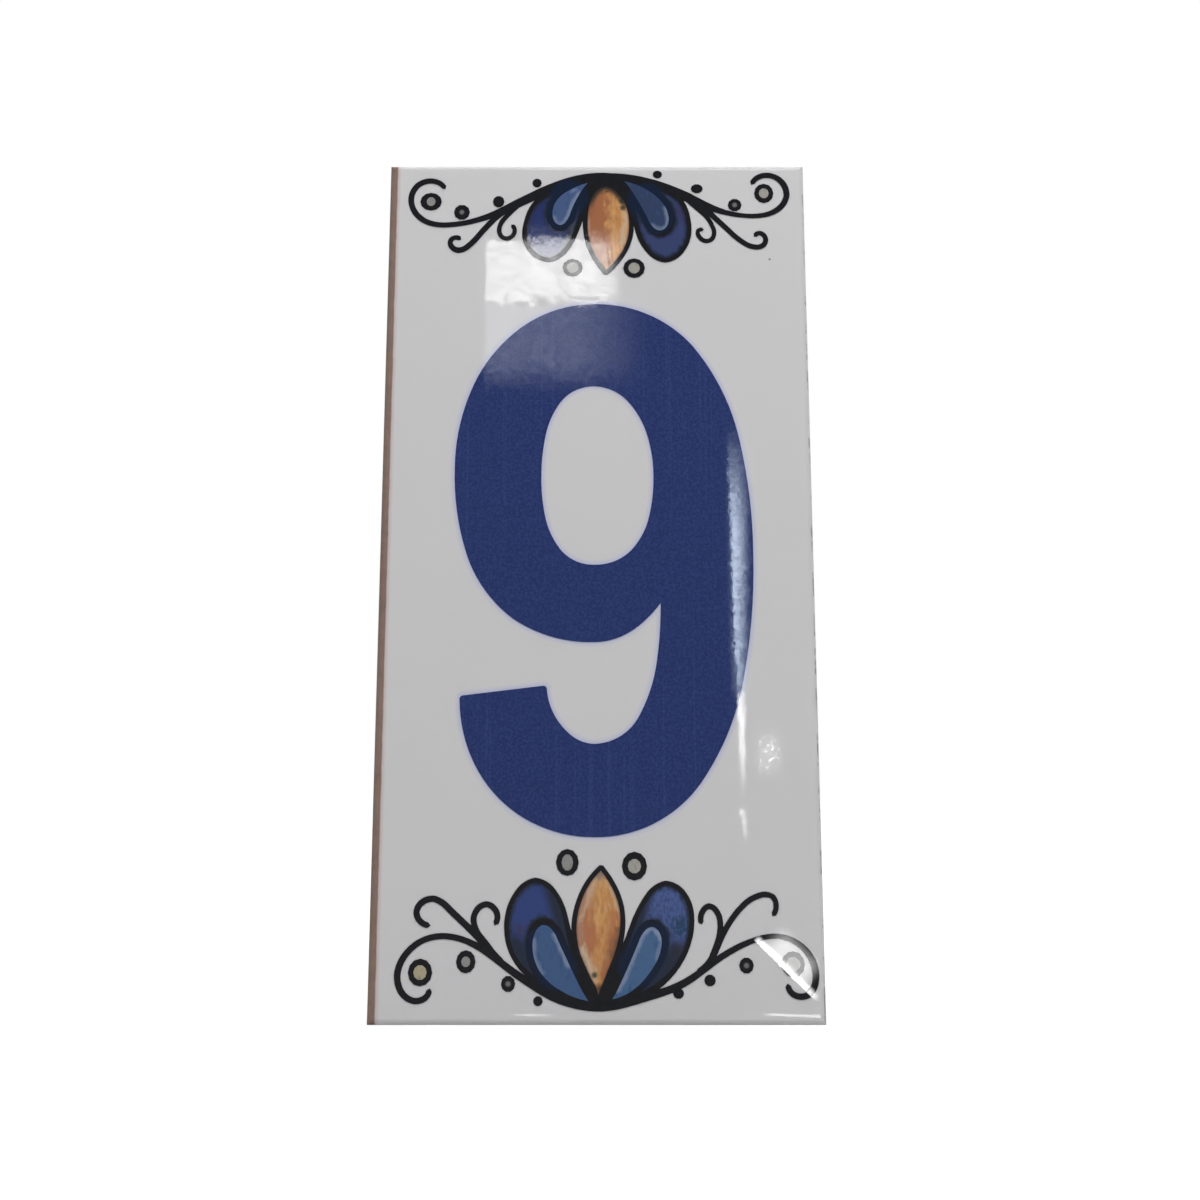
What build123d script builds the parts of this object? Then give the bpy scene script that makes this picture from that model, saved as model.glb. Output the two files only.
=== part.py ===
from build123d import *
import os
from math import cos, pi, sin

# House number tile: one pressed ceramic tile, glazed white, with a fired print on its face.
# It stands as it is fixed: X to the right, Y into the wall, Z up, in millimetres.
# The origin is the middle of the back face. The face looks towards -Y.

# Tile body
TILE_WIDTH = 75.0
TILE_HEIGHT = 150.0
TILE_THICKNESS = 7.0
FRONT_EDGE_RADIUS = 1.1  # rounded edge all round the face
BACK_CHAMFER = 0.5

# Keying pockets pressed into the back
POCKET_DEPTH = 0.6
POCKET_BORDER = 6.0
POCKET_RIB = 3.0
POCKET_COLUMNS = 2
POCKET_ROWS = 4

# Print layout on the face
PRINT_THICKNESS = 0.1
PRINT_CLEARANCE = 0.1  # between the rounded edge and the print's highest and rightmost points
SIDE_MARGIN = 1.95  # mean of the left and right margins
BOTTOM_MARGIN = 2.25
TOP_ORNAMENT_HEIGHT = 20.55
BOTTOM_ORNAMENT_HEIGHT = 25.95
NUMERAL_TOP_GAP = 4.95
NUMERAL_BOTTOM_GAP = 1.9
NUMERAL_SIDE_MARGIN = 11.65
NUMERAL_SHIFT = 0.35  # to the right of the ornaments' middle

# Numeral strokes
BOWL_SIDE_STROKE = 15.1
BOWL_TOP_STROKE = 15.2
WAIST_STROKE = 13.4
STEM_STROKE = 17.1
FOOT_STROKE = 15.4
TERMINAL_ROUNDING = 0.6

# Numeral proportions, as shares of its width or height
AXIS_SHARE = 0.47  # the upright line through the tops and bottoms of its curves
BOWL_SHARE = 0.65
BOWL_MIDDLE_SHARE = 0.495  # of the bowl's height
COUNTER_MIDDLE_SHARE = 0.52  # of the bowl's height
STEM_MIDDLE_SHARE = 0.485
NECK_SHARE = 0.69  # across, where the bowl runs into the stem
NECK_DROP_SHARE = 0.578
TERMINAL_LEFT_SHARE = 0.03
TERMINAL_LEFT_DROP_SHARE = 0.748
TERMINAL_RIGHT_SHARE = 0.315
TERMINAL_RIGHT_DROP_SHARE = 0.729

# How far a quarter curve's handles reach: a slack curve, about an ellipse, and a fuller curve
SLACK_REACH = 0.5
ROUND_REACH = 0.57
FULL_REACH = 0.64
NECK_REACH = 0.45
CURVE_ARCS = 3  # arcs in each curve of the numeral

# Lines of the ornaments
LINE_WIDTH = 1.0
OUTER_OUTLINE_WIDTH = 0.8
INNER_OUTLINE_WIDTH = 1.15
ROOT_OUTLINE_WIDTH = 1.8  # of the outer and centre petals, where they meet
INNER_ROOT_WIDTH = 0.6  # of the inner petals there
ROOT_WIDTH_POWER = 4  # how late along the petal its outline takes the width at its root
BEAD_SIDES = 12
DOT_SIDES = 10  # of the dots and of the beads' pale centres
SMALLEST_FIELD = 0.4  # square millimetres, a patch of colour below this is dark instead

# The drawing of the ornaments, which is fitted to the margins and heights above.
# Lines from root to tip: (across, up, width as a share of LINE_WIDTH)
TOP_LINES = [
    # left scroll
    [
        (3.0, 73.5, 0.8), (-3.0, 73.35, 1.15), (-6.5, 72.35, 1.4), (-11.0, 70.3, 1.7),
        (-15.5, 68.0, 1.6), (-19.5, 66.1, 1.15), (-23.5, 64.75, 0.95), (-27.5, 64.15, 0.95),
        (-31.0, 64.55, 1.0), (-33.5, 66.5, 1.05), (-34.3, 69.1, 1.05), (-33.3, 71.6, 1.05),
        (-31.0, 72.6, 1.0), (-29.1, 72.1, 0.95), (-28.4, 71.4, 0.9),
    ],
    # left tendril
    [
        (-16.0, 67.6, 1.2), (-19.25, 65.25, 1.05), (-22.0, 62.1, 1.05), (-24.1, 59.9, 1.05),
        (-25.6, 59.3, 1.05), (-26.9, 60.1, 1.0), (-27.0, 61.2, 0.9), (-26.3, 61.7, 0.85),
        (-25.5, 61.55, 0.9),
    ],
    # left curl
    [
        (-15.3, 67.6, 0.9), (-17.5, 65.25, 0.85), (-18.35, 63.0, 0.85), (-17.75, 61.8, 0.8),
        (-16.8, 61.55, 0.8), (-15.75, 62.3, 0.8), (-15.55, 63.2, 0.8), (-15.9, 63.9, 0.8),
    ],
    # right scroll
    [
        (-3.0, 73.35, 0.8), (3.0, 73.5, 1.1), (7.0, 72.85, 1.3), (11.5, 71.3, 1.7),
        (15.5, 69.5, 1.8), (19.0, 67.8, 1.35), (22.5, 66.5, 0.95), (26.0, 65.9, 0.8),
        (29.5, 66.05, 0.9), (32.2, 67.4, 1.05), (33.5, 69.7, 1.1), (32.9, 72.1, 1.1),
        (31.0, 73.55, 1.0), (29.0, 73.55, 1.0), (27.4, 72.3, 0.95),
    ],
    # right tendril
    [
        (16.5, 68.9, 1.2), (20.0, 66.0, 1.0), (23.0, 63.0, 0.95), (25.8, 60.6, 0.95),
        (27.75, 59.9, 0.95), (29.2, 60.35, 0.95), (29.55, 61.5, 0.9), (28.8, 62.5, 0.85),
        (27.75, 62.2, 0.85),
    ],
    # right curl
    [
        (15.5, 69.1, 1.0), (18.5, 66.25, 0.85), (20.1, 63.7, 0.8), (20.1, 61.7, 0.8),
        (19.0, 61.05, 0.8), (17.6, 61.95, 0.8), (17.4, 62.9, 0.75), (18.1, 63.25, 0.75),
    ],
]
BOTTOM_LINES = [
    # left scroll
    [
        (3.0, -71.0, 0.9), (0.0, -71.25, 1.4), (-4.0, -70.8, 1.5), (-8.0, -69.5, 1.5),
        (-11.5, -67.6, 1.3), (-15.0, -65.3, 1.2), (-18.5, -62.75, 1.15), (-22.0, -60.85, 1.0),
        (-25.5, -60.05, 1.0), (-29.0, -60.6, 1.0), (-31.75, -62.6, 1.05), (-33.25, -65.6, 1.1),
        (-32.7, -68.7, 1.05), (-30.6, -70.25, 1.0), (-28.9, -69.95, 1.0), (-28.05, -68.75, 0.95),
    ],
    # left tendril
    [
        (-16.5, -64.1, 1.2), (-19.25, -61.25, 1.1), (-22.0, -58.5, 1.1), (-25.0, -55.75, 1.1),
        (-27.4, -54.1, 1.05), (-29.6, -54.7, 1.05), (-30.4, -56.3, 1.05), (-29.8, -57.6, 1.0),
        (-28.5, -58.3, 0.95),
    ],
    # left curl
    [
        (-17.3, -63.4, 1.0), (-19.75, -60.25, 1.0), (-21.0, -57.5, 1.0), (-20.5, -55.9, 1.0),
        (-18.9, -54.95, 1.0), (-17.75, -55.5, 1.0), (-17.3, -57.9, 0.95),
    ],
    # right scroll
    [
        (-3.0, -71.0, 0.9), (0.0, -71.25, 1.4), (4.0, -70.6, 1.4), (8.0, -69.5, 1.3),
        (11.5, -68.4, 1.25), (15.0, -66.6, 1.15), (18.5, -64.1, 1.05), (22.0, -62.0, 1.0),
        (25.5, -60.55, 0.85), (29.0, -60.05, 0.8), (32.25, -61.2, 0.95), (34.6, -64.0, 1.1),
        (35.0, -67.0, 1.1), (33.7, -69.35, 1.05), (31.6, -69.4, 1.0), (30.5, -68.0, 0.95),
    ],
    # right tendril
    [
        (16.0, -65.7, 1.1), (18.2, -63.4, 1.05), (19.4, -60.9, 1.0), (21.0, -58.0, 0.95),
        (23.3, -55.2, 0.95), (26.2, -53.5, 0.95), (28.3, -53.75, 0.9), (28.8, -55.2, 0.9),
        (28.4, -56.5, 0.85),
    ],
    # right curl
    [
        (18.2, -63.2, 1.0), (19.25, -60.5, 0.95), (19.55, -57.7, 0.95), (18.9, -55.95, 0.95),
        (17.7, -55.25, 0.95), (16.7, -56.1, 0.95), (16.4, -57.75, 0.9),
    ],
]

# Petals: the middle of the dark outline, from the root round the tip and back to the root
TOP_OUTER_PETALS = [
    [
        (-1.5, 72.7), (-8.0, 70.6), (-12.0, 68.2), (-13.5, 64.7), (-13.75, 61.6), (-12.4, 59.0),
        (-9.3, 57.5), (-6.8, 58.9), (-4.7, 62.4), (-3.3, 67.2), (-2.6, 70.5),
    ],
    [
        (3.0, 73.0), (10.0, 71.2), (14.2, 69.0), (15.7, 65.3), (15.8, 62.3), (14.5, 59.2),
        (11.5, 57.35), (8.6, 59.0), (6.6, 62.9), (5.9, 66.5), (5.0, 70.0),
    ],
]
TOP_INNER_PETALS = [
    [
        (-1.6, 72.7), (-6.2, 71.15), (-8.7, 68.8), (-9.35, 66.3), (-8.8, 64.4), (-7.4, 63.5),
        (-6.0, 64.25), (-4.9, 66.6), (-3.4, 70.0),
    ],
    [
        (3.4, 73.0), (8.6, 71.3), (11.8, 68.3), (12.75, 65.6), (12.3, 63.55), (10.8, 62.5),
        (9.3, 62.95), (7.9, 65.1), (5.4, 70.0),
    ],
]
TOP_CENTRE_PETAL = [
    (0.9, 54.95), (3.5, 57.9), (5.1, 61.2), (5.45, 65.0), (4.9, 68.2), (3.6, 70.5), (0.7, 72.35),
    (-1.9, 70.2), (-2.75, 67.0), (-2.85, 63.5), (-2.2, 60.1), (-0.8, 57.2),
]
BOTTOM_OUTER_PETALS = [
    [
        (-1.0, -70.6), (-8.0, -68.4), (-13.2, -64.9), (-15.3, -60.8), (-15.45, -56.9),
        (-13.9, -53.1), (-10.9, -51.05), (-7.8, -52.9), (-5.9, -57.0), (-4.6, -62.3), (-2.6, -67.4),
    ],
    [
        (1.0, -70.6), (7.5, -69.0), (11.8, -65.6), (14.3, -61.2), (14.9, -56.8), (13.7, -53.3),
        (10.6, -51.55), (7.5, -53.8), (5.0, -58.8), (3.3, -63.4), (1.8, -67.7),
    ],
]
BOTTOM_INNER_PETALS = [
    [
        (-1.4, -70.7), (-7.2, -68.9), (-10.6, -65.8), (-11.85, -61.6), (-11.35, -59.2), (-9.8, -57.7),
        (-8.1, -58.2), (-6.7, -60.2), (-3.1, -67.8),
    ],
    [
        (1.2, -70.4), (5.4, -69.0), (8.9, -65.4), (10.5, -61.2), (10.1, -59.3), (8.6, -58.0),
        (7.0, -58.55), (5.6, -60.8), (2.4, -68.1),
    ],
]
BOTTOM_CENTRE_PETAL = [
    (0.0, -48.95), (2.1, -52.0), (3.4, -55.6), (3.45, -59.4), (2.5, -63.4), (0.9, -67.7),
    (-0.3, -70.2), (-2.0, -67.5), (-3.9, -63.0), (-4.5, -59.2), (-3.95, -55.2), (-2.2, -51.4),
]

# Beads: (across, up, half width, half height, half width of the pale centre, its half height)
TOP_BEADS = [
    (-30.7, 68.6, 1.95, 1.7, 0.8, 0.87), (-5.1, 56.0, 1.8, 1.65, 1.1, 1.05),
    (29.4, 70.2, 1.75, 1.85, 0.9, 0.97), (5.9, 55.9, 1.95, 1.85, 1.05, 1.05),
]
BOTTOM_BEADS = [
    (-29.6, -65.8, 2.0, 2.2, 1.1, 1.2), (-22.15, -64.1, 1.6, 1.83, 0.75, 0.85),
    (-5.6, -48.2, 1.9, 2.2, 0.95, 1.35), (31.4, -64.5, 1.9, 2.05, 1.2, 1.2),
    (5.5, -48.8, 2.1, 2.35, 1.1, 1.2),
]

# Dots: (across, up, half width, half height). The first of each list is where the petals meet.
TOP_DOTS = [
    (0.8, 72.9, 2.3, 0.8), (-25.1, 66.55, 1.45, 1.45), (-18.5, 68.6, 1.05, 1.1),
    (-11.6, 72.2, 0.85, 0.85), (24.1, 67.95, 1.25, 1.2), (17.3, 71.1, 1.1, 0.88),
    (10.2, 73.85, 0.85, 0.75),
]
BOTTOM_DOTS = [
    (0.0, -70.6, 2.3, 0.8), (-15.2, -67.6, 1.17, 1.3), (-10.3, -70.3, 0.8, 0.8),
    (23.75, -64.7, 1.2, 1.3), (17.75, -67.05, 0.95, 0.95), (12.6, -69.1, 0.9, 0.85),
]

# Where the print lies
EDGE_MARGIN = FRONT_EDGE_RADIUS + PRINT_CLEARANCE
PRINT_TOP = TILE_HEIGHT / 2 - EDGE_MARGIN
PRINT_BOTTOM = -TILE_HEIGHT / 2 + BOTTOM_MARGIN
PRINT_HALF_SPAN = TILE_WIDTH / 2 - SIDE_MARGIN
PRINT_MIDDLE = SIDE_MARGIN - EDGE_MARGIN  # the print lies to the right, close to the rounded edge
NUMERAL_TOP = PRINT_TOP - TOP_ORNAMENT_HEIGHT - NUMERAL_TOP_GAP
NUMERAL_BOTTOM = PRINT_BOTTOM + BOTTOM_ORNAMENT_HEIGHT + NUMERAL_BOTTOM_GAP
NUMERAL_HEIGHT = NUMERAL_TOP - NUMERAL_BOTTOM
NUMERAL_WIDTH = TILE_WIDTH - 2 * NUMERAL_SIDE_MARGIN
NUMERAL_LEFT = PRINT_MIDDLE + NUMERAL_SHIFT - NUMERAL_WIDTH / 2

face_plane = Plane.XZ.offset(TILE_THICKNESS)


def make_tile():
    """The clay body: rounded face edge, bevelled back edge and a grid of pockets in the back."""
    body = extrude(Plane.XZ * Rectangle(TILE_WIDTH, TILE_HEIGHT), TILE_THICKNESS)
    body = fillet(body.faces().sort_by(Axis.Y)[0].edges(), FRONT_EDGE_RADIUS)
    body = chamfer(body.faces().sort_by(Axis.Y)[-1].edges(), BACK_CHAMFER)
    clear_width = TILE_WIDTH - 2 * POCKET_BORDER + POCKET_RIB
    clear_height = TILE_HEIGHT - 2 * POCKET_BORDER + POCKET_RIB
    column_pitch = clear_width / POCKET_COLUMNS
    row_pitch = clear_height / POCKET_ROWS
    pocket = Rectangle(column_pitch - POCKET_RIB, row_pitch - POCKET_RIB)
    grid = GridLocations(column_pitch, row_pitch, POCKET_COLUMNS, POCKET_ROWS)
    return body - [extrude(Plane.XZ * place * pocket, POCKET_DEPTH) for place in grid]


def arcs_along(curve):
    """A chain of arcs that follows a curve."""
    shares = [step / (2 * CURVE_ARCS) for step in range(2 * CURVE_ARCS + 1)]
    threes = zip(shares[0::2], shares[1::2], shares[2::2])
    return [ThreePointArc(*[curve @ share for share in three]) for three in threes]


def quarter(start, end, leaves_level, reach):
    """A quarter curve that leaves level and arrives upright, or the other way round."""
    across = (end[0] - start[0]) * reach
    up = (end[1] - start[1]) * reach
    if leaves_level:
        return arcs_along(Bezier(start, (start[0] + across, start[1]), (end[0], end[1] - up), end))
    return arcs_along(Bezier(start, (start[0], start[1] + up), (end[0] - across, end[1]), end))


def make_numeral():
    """The nine: bowl, stem and tail as one outline, less the counter."""
    right = NUMERAL_LEFT + NUMERAL_WIDTH
    axis = NUMERAL_LEFT + NUMERAL_WIDTH * AXIS_SHARE
    bowl_height = NUMERAL_HEIGHT * BOWL_SHARE
    bowl_middle = NUMERAL_TOP - bowl_height * BOWL_MIDDLE_SHARE
    top = (axis, NUMERAL_TOP)
    stem = (right, NUMERAL_TOP - NUMERAL_HEIGHT * STEM_MIDDLE_SHARE)
    foot = (axis, NUMERAL_BOTTOM)
    terminal_left = (
        NUMERAL_LEFT + NUMERAL_WIDTH * TERMINAL_LEFT_SHARE,
        NUMERAL_TOP - NUMERAL_HEIGHT * TERMINAL_LEFT_DROP_SHARE,
    )
    terminal_right = (
        NUMERAL_LEFT + NUMERAL_WIDTH * TERMINAL_RIGHT_SHARE,
        NUMERAL_TOP - NUMERAL_HEIGHT * TERMINAL_RIGHT_DROP_SHARE,
    )
    tail_inside = (axis, NUMERAL_BOTTOM + FOOT_STROKE)
    neck = (NUMERAL_LEFT + NUMERAL_WIDTH * NECK_SHARE, NUMERAL_TOP - NUMERAL_HEIGHT * NECK_DROP_SHARE)
    bowl_bottom = (axis, NUMERAL_TOP - bowl_height)
    bowl_left = (NUMERAL_LEFT, bowl_middle)
    neck_handle = (neck[0] - (neck[0] - axis) * NECK_REACH, bowl_bottom[1])
    outline = [
        *quarter(top, stem, True, FULL_REACH),
        *quarter(stem, foot, False, FULL_REACH),
        *quarter(foot, terminal_left, True, ROUND_REACH),
        Line(terminal_left, terminal_right),
        *quarter(terminal_right, tail_inside, False, SLACK_REACH),
        *quarter(tail_inside, neck, True, FULL_REACH),
        *arcs_along(Bezier(neck, neck_handle, bowl_bottom)),
        *quarter(bowl_bottom, bowl_left, True, FULL_REACH),
        *quarter(bowl_left, top, False, ROUND_REACH),
    ]
    counter_middle = NUMERAL_TOP - bowl_height * COUNTER_MIDDLE_SHARE
    counter_top = (axis, NUMERAL_TOP - BOWL_TOP_STROKE)
    counter_right = (right - STEM_STROKE, counter_middle)
    counter_bottom = (axis, bowl_bottom[1] + WAIST_STROKE)
    counter_left = (NUMERAL_LEFT + BOWL_SIDE_STROKE, counter_middle)
    counter = [
        *quarter(counter_top, counter_right, True, ROUND_REACH),
        *quarter(counter_right, counter_bottom, False, FULL_REACH),
        *quarter(counter_bottom, counter_left, True, FULL_REACH),
        *quarter(counter_left, counter_top, False, FULL_REACH),
    ]
    figure = make_face(outline)
    terminals = [(*terminal_left, 0), (*terminal_right, 0)]
    corners = [figure.vertices().sort_by_distance(point)[0] for point in terminals]
    return fillet(corners, TERMINAL_ROUNDING) - make_face(counter)


def reaches(lines, round_marks):
    """Every point of a drawing with its half width and half height."""
    found = [mark[:4] for mark in round_marks]
    for line in lines:
        found += [(across, up, LINE_WIDTH * share / 2, LINE_WIDTH * share / 2) for across, up, share in line]
    return found


def placing(found, bottom, height):
    """The rule that takes a drawn point to the face, so that the drawing fills the height."""
    lowest = min(up - half_height for across, up, half_width, half_height in found)
    highest = max(up + half_height for across, up, half_width, half_height in found)

    def place(point):
        rise = (point[1] - lowest) / (highest - lowest)
        across = point[0] / DRAWN_HALF_SPAN * PRINT_HALF_SPAN
        return (PRINT_MIDDLE + across, bottom + rise * height)

    return place


def brush(path, stops):
    """A painted line with pointed ends and an arc on either side between stops of (share, width)."""

    def sides(share, width):
        along = path % share
        aside = Vector(-along.Y, along.X) * (width / 2)
        return path @ share + aside, path @ share - aside

    edges = []
    for (start, start_width), (end, end_width) in zip(stops, stops[1:]):
        middle = sides((start + end) / 2, (start_width + end_width) / 2)
        points = zip(sides(start, start_width), middle, sides(end, end_width))
        edges += [ThreePointArc(*three) for three in points]
    for (share, width), sense in ((stops[0], -1), (stops[-1], 1)):
        left, right = sides(share, width)
        tip = path @ share + (path % share) * (sense * width / 2)
        edges += [Line(left, tip), Line(tip, right)]
    return make_face(edges)


def brush_line(points, place):
    """One line of an ornament, with the width that its points state."""
    placed = [place(point) for point in points]
    path = Spline(*placed)
    shares = [path.param_at_point(spot) for spot in placed]
    return brush(path, [(share, LINE_WIDTH * point[2]) for share, point in zip(shares, points)])


def petal(points, outline_width, root_width, root, place):
    """A petal's field and the two halves of its outline. Root is the share of the path that is its root."""

    def width_at(share):
        away = abs(2 * share - 1)
        near_root = away if root == 0 else 1 - away
        return outline_width + (root_width - outline_width) * near_root**ROOT_WIDTH_POWER

    placed = [place(point) for point in points]
    path = Spline(*placed, placed[0])
    shares = [0, *[path.param_at_point(spot) for spot in placed[1:]], 1]
    stops = [(share, width_at(share)) for share in shares]
    turn = len(points) // 2
    halves = [brush(path, stops[: turn + 1]), brush(path, stops[turn:])]
    field = make_face([path.trim(0, 0.5), path.trim(0.5, 1)])
    return field, halves


def spot(point, half_width, half_height, sides, place):
    """A nearly round mark, small enough for short straight sides."""
    turns = [2 * pi * side / sides for side in range(sides)]
    rim = [(half_width * cos(turn), half_height * sin(turn)) for turn in turns]
    return Pos(*place(point)) * Polygon(*rim, align=None)


def printed(sketch):
    return extrude(face_plane * sketch, PRINT_THICKNESS)


def make_ornament(lines, outer_petals, inner_petals, centre_petal, beads, dots, place):
    """One ornament's colours: dark lines, dark blue, light blue, ochre and pale bead centres."""
    dark = [brush_line(points, place) for points in lines]
    outer_outlines = []
    outer = []
    inner = []
    pale = []
    for points in outer_petals:
        field, halves = petal(points, OUTER_OUTLINE_WIDTH, ROOT_OUTLINE_WIDTH, 0, place)
        outer.append(field)
        outer_outlines += halves
    for points in inner_petals:
        field, halves = petal(points, INNER_OUTLINE_WIDTH, INNER_ROOT_WIDTH, 0, place)
        inner.append(field)
        dark += halves
    centre, halves = petal(centre_petal, OUTER_OUTLINE_WIDTH, ROOT_OUTLINE_WIDTH, 0.5, place)
    dark += halves
    for across, up, half_width, half_height, centre_width, centre_height in beads:
        hole = spot((across, up), centre_width, centre_height, DOT_SIDES, place)
        dark.append(spot((across, up), half_width, half_height, BEAD_SIDES, place) - hole)
        pale.append(hole)
    for across, up, half_width, half_height in dots:
        dark.append(spot((across, up), half_width, half_height, DOT_SIDES, place))
    dark_fields = Sketch() + outer_outlines - inner + dark
    outer_fields = Sketch() + outer - dark_fields - centre - inner
    inner_fields = Sketch() + inner - dark_fields - centre
    centre_fields = centre - dark_fields
    colours = []
    specks = []
    for colour in (outer_fields, inner_fields, centre_fields):
        colours.append(Sketch() + [face for face in colour.faces() if face.area > SMALLEST_FIELD])
        specks += [face for face in colour.faces() if face.area <= SMALLEST_FIELD]
    pale_fields = Sketch() + pale - dark_fields
    if specks:
        dark_fields = dark_fields + specks
    return dark_fields, *colours, pale_fields


top_reaches = reaches(TOP_LINES, TOP_BEADS + TOP_DOTS)
bottom_reaches = reaches(BOTTOM_LINES, BOTTOM_BEADS + BOTTOM_DOTS)
all_reaches = top_reaches + bottom_reaches
DRAWN_HALF_SPAN = max(abs(across) + half_width for across, up, half_width, half_height in all_reaches)
top_colours = make_ornament(
    TOP_LINES,
    TOP_OUTER_PETALS,
    TOP_INNER_PETALS,
    TOP_CENTRE_PETAL,
    TOP_BEADS,
    TOP_DOTS,
    placing(top_reaches, PRINT_TOP - TOP_ORNAMENT_HEIGHT, TOP_ORNAMENT_HEIGHT),
)
bottom_colours = make_ornament(
    BOTTOM_LINES,
    BOTTOM_OUTER_PETALS,
    BOTTOM_INNER_PETALS,
    BOTTOM_CENTRE_PETAL,
    BOTTOM_BEADS,
    BOTTOM_DOTS,
    placing(bottom_reaches, PRINT_BOTTOM, BOTTOM_ORNAMENT_HEIGHT),
)
ornament_nodes = ["scrollwork", "outer_petals", "inner_petals", "centre_petals", "bead_centres"]

nodes = {"tile": make_tile(), "numeral": printed(make_numeral())}
for name, top_fields, bottom_fields in zip(ornament_nodes, top_colours, bottom_colours):
    nodes[name] = printed(top_fields) + printed(bottom_fields)

os.makedirs("parts", exist_ok=True)
for name, shape in nodes.items():
    export_step(shape, f"parts/{name}.step")
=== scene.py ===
import math

import bpy
import numpy as np
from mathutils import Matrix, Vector
from mathutils.geometry import delaunay_2d_cdt


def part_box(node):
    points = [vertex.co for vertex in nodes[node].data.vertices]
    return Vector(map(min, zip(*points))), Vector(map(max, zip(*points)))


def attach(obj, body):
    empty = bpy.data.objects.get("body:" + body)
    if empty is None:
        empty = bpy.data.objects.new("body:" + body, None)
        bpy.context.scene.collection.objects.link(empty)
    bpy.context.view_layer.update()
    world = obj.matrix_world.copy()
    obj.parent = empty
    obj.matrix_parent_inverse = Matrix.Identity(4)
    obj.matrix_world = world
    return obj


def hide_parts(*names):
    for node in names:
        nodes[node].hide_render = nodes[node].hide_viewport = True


# A glazed number tile that stands upright on a white floor, seen from below its middle.
# The frame is in metres. Places on the face are written in millimetres, as (across, up) from the
# print's middle, which lies a little to the right of the tile's middle. Angles are in degrees.
# A cover or a fade is where an effect starts and where it is full, in the noise or along a distance.
# A pair of radii or widths is where a touch is full and where it ends.

MM = 0.001
PRINT_MIDDLE = 0.75
RIGHT_ANGLE = 90.0

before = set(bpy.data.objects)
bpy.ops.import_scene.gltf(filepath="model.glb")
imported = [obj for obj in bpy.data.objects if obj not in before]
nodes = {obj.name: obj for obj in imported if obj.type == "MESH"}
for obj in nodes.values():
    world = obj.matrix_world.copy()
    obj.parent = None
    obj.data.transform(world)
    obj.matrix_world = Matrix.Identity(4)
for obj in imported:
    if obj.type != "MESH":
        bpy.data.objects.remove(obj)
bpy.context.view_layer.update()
tile_low, tile_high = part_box("tile")
FACE = tile_low.y / MM
FLOOR = tile_low.z / MM
LEFT_EDGE = tile_low.x / MM - PRINT_MIDDLE
RIGHT_EDGE = tile_high.x / MM - PRINT_MIDDLE

# Camera
CAMERA_ACROSS = -0.2
CAMERA_UP = -36.74
CAMERA_DISTANCE = 203.1  # in front of the face
CAMERA_PITCH = 8.88
CAMERA_LENS = 36.0
CAMERA_SENSOR = 36.0
CAMERA_NEAR = 10.0
CAMERA_FAR = 100000.0

# Light
AMBIENT = 0.37
SUN_STRENGTH = 1.05
SUN_ELEVATION = 75.0
SUN_SPREAD = 70.0
LAMP_SIZE = 200.0
LAMP_OUT = 300.0  # in front of the face
LAMP_UP = 400.0
LAMP_ACROSS = 60.0
LAMP_RADIANCE = 8.7
FLOOR_REACH = 4000.0  # from the tile to each side
FLOOR_WHITE = 0.67
FLOOR_GLOW = 0.59  # where the floor is seen, so that it is as white as the backdrop
FLOOR_ROUGHNESS = 1.0
FLOOR_GLOSS = 0.0
WHITE = (1.0, 1.0, 1.0)

# Glaze finish
GLOSS = 0.12  # specular level of the glaze
BRUSHED_GLOSS = 0.16
OUTER_PETAL_GLOSS = 0.22
FULL_REFLECTION = 0.08  # what a specular level of 1 reflects face on
FACE_ON_REFLECTION = FULL_REFLECTION * GLOSS
GLAZE_ROUGHNESS = 0.022
BRUSHED_ROUGHNESS = 0.045
CLAY_ROUGHNESS = 0.8
RIPPLE_HEIGHT = 0.004
PEEL_HEIGHT = 0.0009
BRUSH_HEIGHT = 0.0045
GRAIN_HEIGHT = 0.12

# Bare clay: how far the glaze reaches round the edge, and where it stops short of the left edge
GLAZE_REACH = 1.2
GLAZE_REACH_SPREAD = 2.4
BARE_LEFT = 1.45
BARE_LEFT_SPREAD = 0.12
BARE_FADE = (-0.1, 0.15)
FRINGE_WIDTH = 0.8

# Painted shadow of a gap as a broken dark line along the right edge, and a dark speck in the glaze
DASH_INSET = 0.3
DASH_WIDTH = 0.2
DASH_COVER = (0.48, 0.64)
SPECK = (30.2, 56.8)
SPECK_RADII = (0.08, 0.3)

# Blue stain in the glaze round the numeral
BLEED_WIDTH = 1.1
BLEED_CELL = 0.3
BLEED_DEPTH = 0.02

# Points of the brushed petals: their spacing, and how closely places are compared
PRINT_CELL = 0.35
FLAT_TOLERANCE = 0.01
PLACE_DIGITS = 4
SMALLEST_SQUARE = 1e-12
JOIN_TOLERANCE = 1e-5

# Patterns: the size and detail of their patches, the stretch across, in depth and up, and a seed
NOISE_MIDDLE = 0.5
CLOUDS = {"size": 22.0, "detail": 3.0}
RIPPLE = {"size": 2.2, "detail": 1.0, "stretch": (2.5, 1.0, 1.0), "seed": 3.0}
PEEL = {"size": 0.6, "detail": 2.0, "seed": 7.0}
BRUSH_MARKS = {"size": 0.3, "detail": 2.0, "stretch": (1.0, 1.0, 5.0), "seed": 10.0}
CLAY_GRAIN = {"size": 0.5, "detail": 4.0, "seed": 17.0}
CLAY_PATCHES = {"size": 1.6, "detail": 5.0, "seed": 11.0}
RAGGED_LINE = {"size": 2.5, "detail": 4.0, "seed": 5.0}
DASHES = {"size": 2.6, "detail": 3.0, "seed": 13.0}
PRINTING_LINES = {"size": 0.5, "detail": 0.0, "stretch": (1.0, 1.0, 200.0), "seed": 2.0}
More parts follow.
